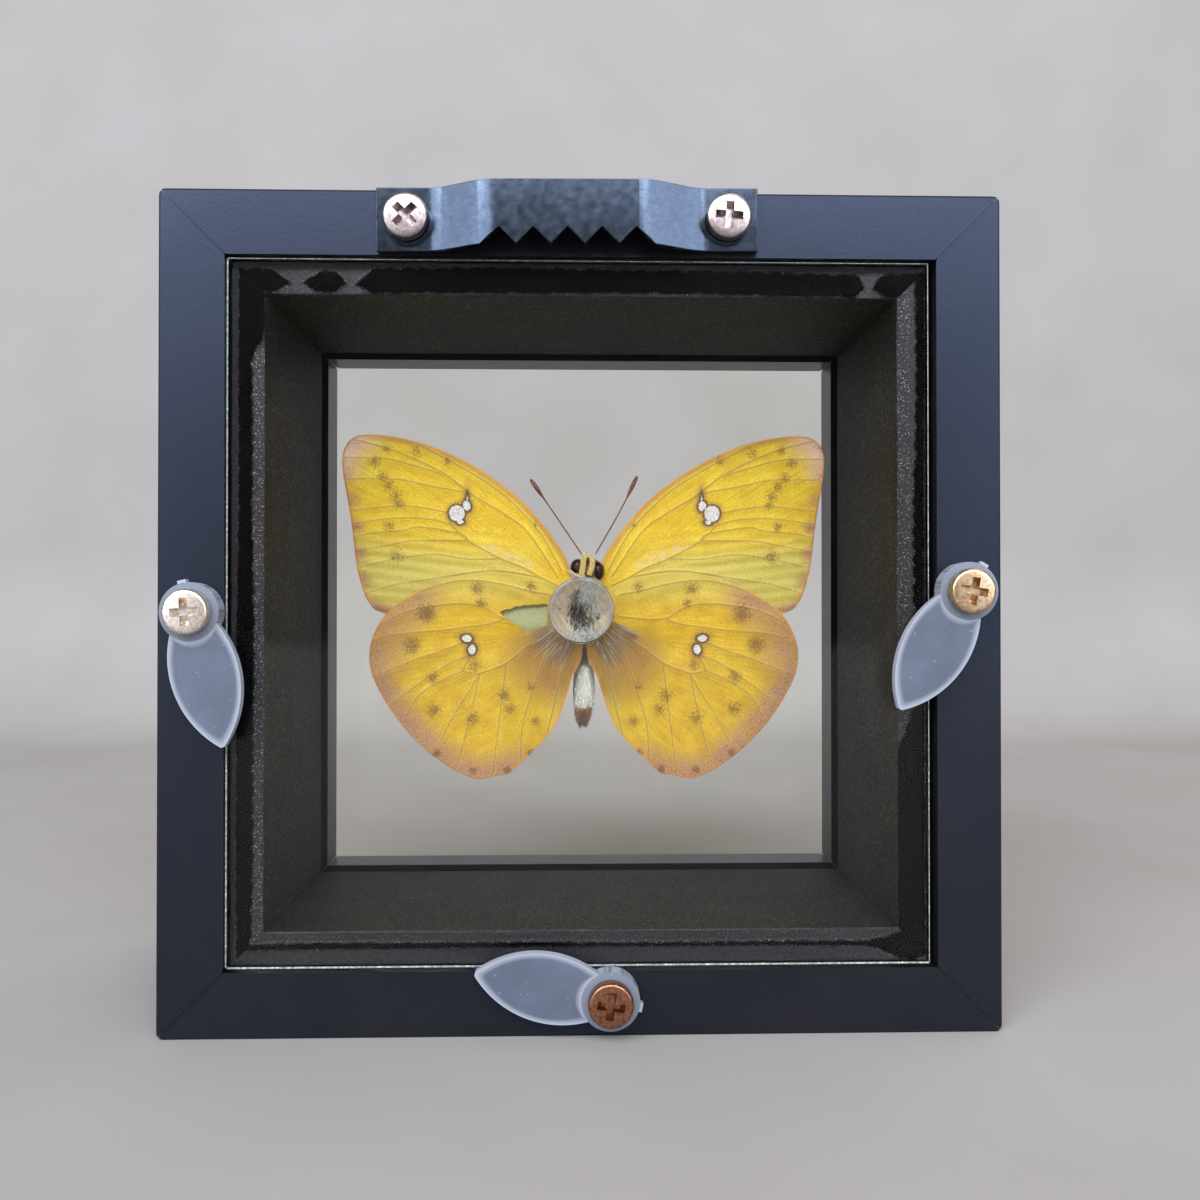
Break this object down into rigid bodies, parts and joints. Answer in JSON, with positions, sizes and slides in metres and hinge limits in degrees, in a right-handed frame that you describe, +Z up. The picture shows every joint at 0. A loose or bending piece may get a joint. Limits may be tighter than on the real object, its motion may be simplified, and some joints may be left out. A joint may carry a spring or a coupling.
{
  "type": "framed butterfly specimen",
  "caption": "Spread sulphur butterfly on a clear post inside a square black shadow-box frame glazed on both faces, with a sawtooth hanger and plastic turn buttons on the back.",
  "frame": {"origin": "middle of the whole object's base: the bottom rail's underside in height, half-way between the frame's front face and the backmost screw head in depth", "axes": "+Z up, as the frame stands or hangs; the picture front faces -Y and the back with the hanger faces +Y; +X is to the right of someone facing the front"},
  "size_m": [0.127, 0.056, 0.1273],
  "materials": {
    "black_painted_wood": "satin black paint with a fine orange-peel grain",
    "dark_spacer_wood": "flat dark grey-brown stain, glossy where the glue wets the edge under the glass",
    "clear_glass": "clear float glass, cut edges",
    "zinc_plated_steel": "blue-passivated zinc, mottled",
    "nickel_plated_steel": "dull nickel plate",
    "brass_plated_steel": "thin yellow to coppery plate",
    "milky_plastic": "translucent milky white moulding",
    "clear_acrylic": "clear acrylic with a frosted far end",
    "wing_scales": "yellow scales with brown veins, brown-ringed silver spots and pink-brown margins",
    "body_hair": "pale and dark hair on the thorax, white scales on the abdomen",
    "antenna_brown": "red-brown, darker clubs"
  },
  "bodies": {
    "frame": {"rail_top": "black_painted_wood", "rail_bottom": "black_painted_wood", "rail_left": "black_painted_wood", "rail_right": "black_painted_wood", "spacer_top": "dark_spacer_wood", "spacer_bottom": "dark_spacer_wood", "spacer_left": "dark_spacer_wood", "spacer_right": "dark_spacer_wood", "front_glass": "clear_glass", "back_glass": "clear_glass", "sawtooth_hanger": "zinc_plated_steel", "hanger_screw_left": "nickel_plated_steel", "hanger_screw_right": "nickel_plated_steel", "button_screw_left": "brass_plated_steel", "button_screw_right": "brass_plated_steel", "button_screw_bottom": "brass_plated_steel", "clear_post": "clear_acrylic", "butterfly_body": "body_hair", "forewing_left": "wing_scales", "forewing_right": "wing_scales", "hindwing_left": "wing_scales", "hindwing_right": "wing_scales", "antenna_left": "antenna_brown", "antenna_right": "antenna_brown"},
    "left_button": {"turn_button_left": "milky_plastic"},
    "right_button": {"turn_button_right": "milky_plastic"},
    "bottom_button": {"turn_button_bottom": "milky_plastic"}
  },
  "joints": [
    {"name": "left_button_swivel", "type": "hinge", "parent": "frame", "child": "left_button", "pos_m": [-0.05745, 0.0228, 0.0667], "axis": [0, -1, 0], "continuous": true},
    {"name": "right_button_swivel", "type": "hinge", "parent": "frame", "child": "right_button", "pos_m": [0.0577, 0.0228, 0.0636], "axis": [0, -1, 0], "continuous": true},
    {"name": "bottom_button_swivel", "type": "hinge", "parent": "frame", "child": "bottom_button", "pos_m": [-0.004, 0.0228, 0.0062], "axis": [0, -1, 0], "continuous": true}
  ]
}
